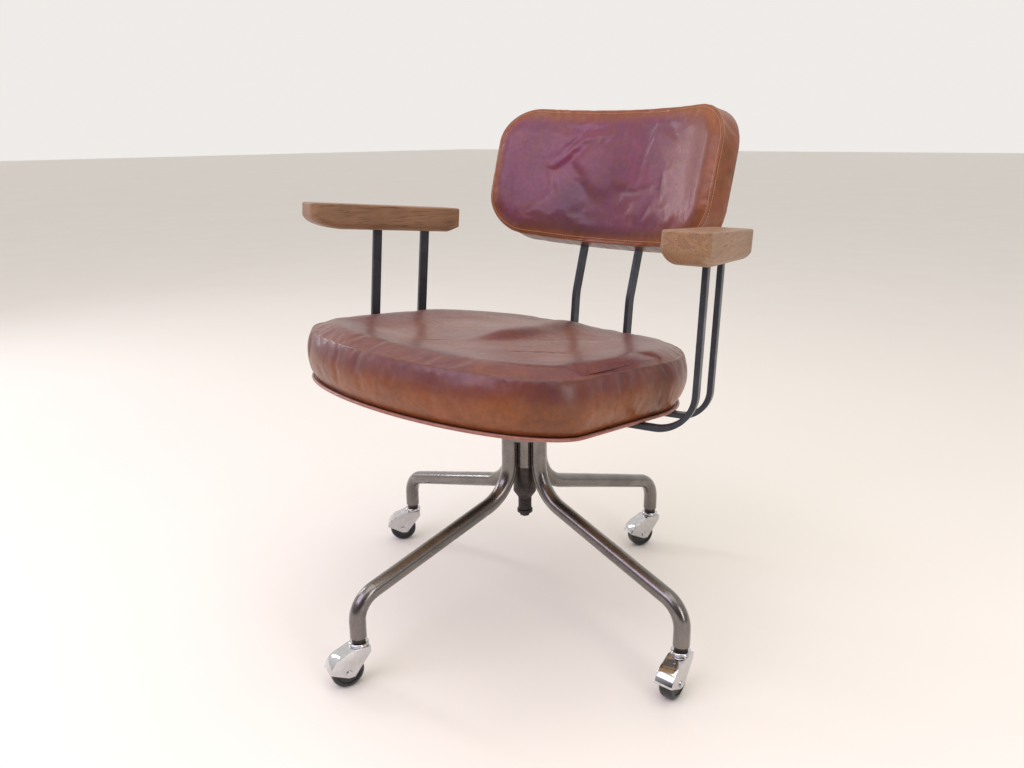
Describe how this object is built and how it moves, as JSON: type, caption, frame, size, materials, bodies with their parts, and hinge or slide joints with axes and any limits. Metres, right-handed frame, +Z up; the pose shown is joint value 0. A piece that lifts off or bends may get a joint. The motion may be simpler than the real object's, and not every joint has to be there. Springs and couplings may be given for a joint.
{
  "type": "swivel office chair",
  "caption": "Swivel desk chair with bent-tube legs on hooded casters, screw-lift spindle, flat-bar arms with wooden rests, D-shaped leather seat and wrap-around leather backrest.",
  "frame": {"origin": "on the floor, on the axis of the hub and the lift spindle", "axes": "+Z up; the front of the seat faces -Y; the sitter's left is +X"},
  "size_m": [0.694, 0.6516, 0.734],
  "materials": {
    "clear_coated_steel": "clear-coated gunmetal tube, glossy",
    "blackened_steel": "dark blue-grey hot-rolled flat bar, satin",
    "dark_iron": "oiled black iron",
    "chrome": "polished chrome",
    "zinc_steel": "zinc-plated hardware",
    "black_tyre": "black polyurethane",
    "wheel_core": "black nylon",
    "oak": "oiled oak, lengthwise grain",
    "plywood": "raw plywood",
    "brown_leather": "glossy pull-up brown leather over foam",
    "leather_piping": "leather welt",
    "bearing_bronze": "oiled bronze bushing"
  },
  "bodies": {
    "base": {"hub_column": "clear_coated_steel", "spindle_nut": "dark_iron", "column_bushing": "bearing_bronze", "hub_top_ring": "clear_coated_steel", "leg_front": "clear_coated_steel", "leg_left": "clear_coated_steel", "leg_rear": "clear_coated_steel", "leg_right": "clear_coated_steel", "caster_sleeves": "dark_iron"},
    "caster_front": {"caster_stem_front": "zinc_steel", "caster_collar_front": "chrome", "caster_hood_front": "chrome", "caster_axle_front": "chrome"},
    "wheel_front": {"caster_wheel_front": "wheel_core", "caster_tyre_front": "black_tyre"},
    "caster_left": {"caster_stem_left": "zinc_steel", "caster_collar_left": "chrome", "caster_hood_left": "chrome", "caster_axle_left": "chrome"},
    "wheel_left": {"caster_wheel_left": "wheel_core", "caster_tyre_left": "black_tyre"},
    "caster_rear": {"caster_stem_rear": "zinc_steel", "caster_collar_rear": "chrome", "caster_hood_rear": "chrome", "caster_axle_rear": "chrome"},
    "wheel_rear": {"caster_wheel_rear": "wheel_core", "caster_tyre_rear": "black_tyre"},
    "caster_right": {"caster_stem_right": "zinc_steel", "caster_collar_right": "chrome", "caster_hood_right": "chrome", "caster_axle_right": "chrome"},
    "wheel_right": {"caster_wheel_right": "wheel_core", "caster_tyre_right": "black_tyre"},
    "lift_washer": {"spindle_washer": "dark_iron"},
    "seat_unit": {"lift_spindle": "dark_iron", "spindle_boss": "dark_iron", "spindle_end_bolt": "dark_iron", "seat_support_plate": "blackened_steel", "arm_bar_left_front": "blackened_steel", "arm_bar_left_rear": "blackened_steel", "arm_bar_right_front": "blackened_steel", "arm_bar_right_rear": "blackened_steel", "back_post_left": "blackened_steel", "back_post_right": "blackened_steel", "seat_bolts": "zinc_steel", "arm_bar_screws": "zinc_steel", "back_post_screws": "zinc_steel", "seat_tee_nuts": "zinc_steel", "armrest_left": "oak", "armrest_right": "oak", "seat_board": "plywood", "backrest_board": "plywood", "seat_cushion": "brown_leather", "backrest_front_cushion": "brown_leather", "backrest_rear_cushion": "brown_leather", "seat_piping": "leather_piping"}
  },
  "joints": [
    {"name": "caster_swivel_front", "type": "hinge", "parent": "base", "child": "caster_front", "pos_m": [-0.03356, -0.29459, 0.054], "axis": [0, 0, 1], "continuous": true},
    {"name": "wheel_spin_front", "type": "hinge", "parent": "caster_front", "child": "wheel_front", "pos_m": [-0.0395, -0.31233, 0.022], "axis": [-0.9483, 0.3173, 0], "continuous": true},
    {"name": "caster_swivel_left", "type": "hinge", "parent": "base", "child": "caster_left", "pos_m": [0.29459, -0.03356, 0.054], "axis": [0, 0, 1], "continuous": true},
    {"name": "wheel_spin_left", "type": "hinge", "parent": "caster_left", "child": "wheel_left", "pos_m": [0.29557, -0.05224, 0.022], "axis": [-0.9986, -0.0523, 0], "continuous": true},
    {"name": "caster_swivel_rear", "type": "hinge", "parent": "base", "child": "caster_rear", "pos_m": [0.03356, 0.29459, 0.054], "axis": [0, 0, 1], "continuous": true},
    {"name": "wheel_spin_rear", "type": "hinge", "parent": "caster_rear", "child": "wheel_rear", "pos_m": [0.02686, 0.27714, 0.022], "axis": [-0.9336, 0.3584, 0], "continuous": true},
    {"name": "caster_swivel_right", "type": "hinge", "parent": "base", "child": "caster_right", "pos_m": [-0.29459, 0.03356, 0.054], "axis": [0, 0, 1], "continuous": true},
    {"name": "wheel_spin_right", "type": "hinge", "parent": "caster_right", "child": "wheel_right", "pos_m": [-0.30686, 0.01945, 0.022], "axis": [-0.7547, 0.6561, 0], "continuous": true},
    {"name": "seat_lift", "type": "slide", "parent": "base", "child": "lift_washer", "axis": [0, 0, 1], "range_m": [-0.028, 0.02]},
    {"name": "seat_swivel", "type": "hinge", "parent": "lift_washer", "child": "seat_unit", "pos_m": [0, 0, 0.3], "axis": [0, 0, 1], "range_deg": [-2525, 1805]}
  ],
  "couplings": [
    {"joint": "seat_swivel", "follows": "seat_lift", "rad_per_m": 1570.8}
  ]
}
